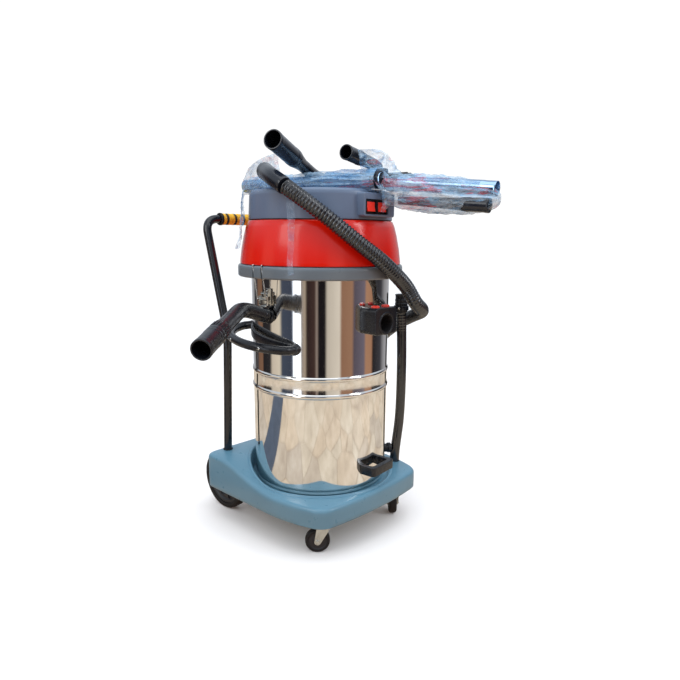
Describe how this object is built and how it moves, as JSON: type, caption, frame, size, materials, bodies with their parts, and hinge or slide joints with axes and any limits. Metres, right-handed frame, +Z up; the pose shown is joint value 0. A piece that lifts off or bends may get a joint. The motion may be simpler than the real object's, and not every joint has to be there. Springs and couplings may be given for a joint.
{
  "type": "wet and dry shop vacuum",
  "caption": "Wet and dry vacuum: steel drum on a wheeled trolley with push handle, red and grey motor head, suction hose, hand tube, wands and floor tools laid on top.",
  "frame": {"origin": "on the floor, under the centre of the bounding box without the main hose", "axes": "+Z up, +X to the machine's left-to-right axle direction (right when seen from the front), -Y to the front with the tank inlet"},
  "size_m": [1.1868, 1.1784, 1.1244],
  "materials": {
    "deck": "satin",
    "steel": "mirror polished",
    "zinc": "zinc plated",
    "chrome_tube": "polished",
    "black_plastic": "satin",
    "black_tube": "gloss",
    "hose": "satin",
    "tyre": "matt",
    "grip": "foam",
    "red_shell": "gloss",
    "red_button": "gloss",
    "grey_shell": "satin",
    "motor": "cast",
    "seal": "matt",
    "float": "satin",
    "cloth": "felt",
    "film": "clear crinkled film"
  },
  "bodies": {
    "machine": {"trolley_deck": "deck", "axle_bracket": "zinc", "rear_axle": "zinc", "caster_plate_left": "zinc", "caster_plate_right": "zinc", "push_handle": "black_tube", "handle_grip": "grip", "tank": "steel", "inlet_block": "black_plastic", "tipping_handle": "black_plastic", "side_handle_left": "black_plastic", "side_handle_right": "black_plastic", "latch_base_left": "zinc", "latch_base_right": "zinc", "hand_tube_peg": "black_plastic", "drain_outlet": "black_plastic", "drain_hose": "hose", "drain_hose_cuff": "hose", "drain_hose_hook": "black_plastic", "filter_bag": "cloth", "main_hose_coil": "hose", "hose_cuff_far": "black_plastic"},
    "wheel_left": {"wheel_hub_left": "black_plastic", "wheel_tyre_left": "tyre"},
    "wheel_right": {"wheel_hub_right": "black_plastic", "wheel_tyre_right": "tyre"},
    "caster_left": {"caster_fork_left": "zinc"},
    "caster_right": {"caster_fork_right": "zinc"},
    "caster_roller_left": {"caster_wheel_left": "tyre"},
    "caster_roller_right": {"caster_wheel_right": "tyre"},
    "head": {"head_ring": "grey_shell", "head_seal": "seal", "motor_plate": "black_plastic", "motor_left": "motor", "motor_right": "motor", "float_cage": "float", "motor_cover": "red_shell", "top_cover": "grey_shell", "switch_panel": "grey_shell", "wand_1": "chrome_tube", "wand_2": "chrome_tube", "crevice_tool": "black_plastic", "film_wrap_1": "film", "film_wrap_2": "film", "floor_tool_bar_a": "black_plastic", "floor_tool_bar_b": "black_plastic", "main_hose_run": "hose", "hose_cuff_near": "black_plastic"},
    "float_ball": {"float_ball": "float"},
    "rocker_left": {"switch_rocker_left": "red_button"},
    "rocker_right": {"switch_rocker_right": "red_button"},
    "button_left": {"inlet_button_left": "red_button"},
    "button_right": {"inlet_button_right": "red_button"},
    "latch_left": {"latch_lever_left": "zinc"},
    "latch_right": {"latch_lever_right": "zinc"},
    "wire_left": {"latch_wire_left": "zinc"},
    "wire_right": {"latch_wire_right": "zinc"},
    "hand_tube": {"hand_tube": "black_plastic"},
    "neck_a": {"floor_tool_neck_a": "black_plastic"},
    "neck_b": {"floor_tool_neck_b": "black_plastic"}
  },
  "joints": [
    {"name": "wheel_left_spin", "type": "hinge", "parent": "machine", "child": "wheel_left", "pos_m": [-0.03534, 0.34206, 0.095], "axis": [1, 0, 0], "continuous": true},
    {"name": "caster_left_swivel", "type": "hinge", "parent": "machine", "child": "caster_left", "pos_m": [-0.02034, -0.08994, 0.098], "axis": [0, 0, 1], "continuous": true},
    {"name": "caster_left_roll", "type": "hinge", "parent": "caster_left", "child": "caster_roller_left", "pos_m": [-0.03448, -0.0758, 0.035], "axis": [-0.7071, -0.7071, 0], "continuous": true},
    {"name": "latch_left_lever", "type": "hinge", "parent": "machine", "child": "latch_left", "pos_m": [-0.07634, 0.08206, 0.715], "axis": [0, 1, 0], "range_deg": [0, 100]},
    {"name": "latch_left_wire", "type": "hinge", "parent": "latch_left", "child": "wire_left", "pos_m": [-0.08784, 0.08206, 0.701], "axis": [0, 1, 0], "range_deg": [-102, 0]},
    {"name": "wheel_right_spin", "type": "hinge", "parent": "machine", "child": "wheel_right", "pos_m": [0.30466, 0.34206, 0.095], "axis": [1, 0, 0], "continuous": true},
    {"name": "caster_right_swivel", "type": "hinge", "parent": "machine", "child": "caster_right", "pos_m": [0.28966, -0.08994, 0.098], "axis": [0, 0, 1], "continuous": true},
    {"name": "caster_right_roll", "type": "hinge", "parent": "caster_right", "child": "caster_roller_right", "pos_m": [0.3038, -0.0758, 0.035], "axis": [-0.7071, 0.7071, 0], "continuous": true},
    {"name": "latch_right_lever", "type": "hinge", "parent": "machine", "child": "latch_right", "pos_m": [0.34566, 0.08206, 0.715], "axis": [0, -1, 0], "range_deg": [0, 100]},
    {"name": "latch_right_wire", "type": "hinge", "parent": "latch_right", "child": "wire_right", "pos_m": [0.35716, 0.08206, 0.701], "axis": [0, -1, 0], "range_deg": [-102, 0]},
    {"name": "head_lift", "type": "slide", "parent": "machine", "child": "head", "axis": [0, 0, 1], "range_m": [0, 0.12]},
    {"name": "float_ball_rise", "type": "slide", "parent": "head", "child": "float_ball", "axis": [0, 0, 1], "range_m": [0, 0.025]},
    {"name": "rocker_left_press", "type": "hinge", "parent": "head", "child": "rocker_left", "pos_m": [0.10466, -0.13074, 0.942], "axis": [1, 0, 0], "range_deg": [0, 16]},
    {"name": "rocker_right_press", "type": "hinge", "parent": "head", "child": "rocker_right", "pos_m": [0.14866, -0.13074, 0.942], "axis": [1, 0, 0], "range_deg": [0, 16]},
    {"name": "inlet_button_left_press", "type": "slide", "parent": "machine", "child": "button_left", "axis": [0, 0, -1], "range_m": [0, 0.004], "stiffness_N_per_m": 800},
    {"name": "inlet_button_right_press", "type": "slide", "parent": "machine", "child": "button_right", "axis": [0, 0, -1], "range_m": [0, 0.004], "stiffness_N_per_m": 800},
    {"name": "hand_tube_pull", "type": "slide", "parent": "machine", "child": "hand_tube", "axis": [-0.9532, 0, 0.3024], "range_m": [0, 0.07]},
    {"name": "neck_a_tilt", "type": "hinge", "parent": "head", "child": "neck_a", "pos_m": [0.23466, 0.17106, 1.0275], "axis": [-0.402, 0.9157, 0], "range_deg": [0, 35]},
    {"name": "neck_b_tilt", "type": "hinge", "parent": "head", "child": "neck_b", "pos_m": [0.29966, 0.01206, 1.0522], "axis": [-0.2147, 0.9767, 0], "range_deg": [0, 35]}
  ],
  "couplings": [
    {"joint": "latch_left_wire", "follows": "latch_left_lever", "ratio": -1},
    {"joint": "latch_right_wire", "follows": "latch_right_lever", "ratio": -1}
  ]
}
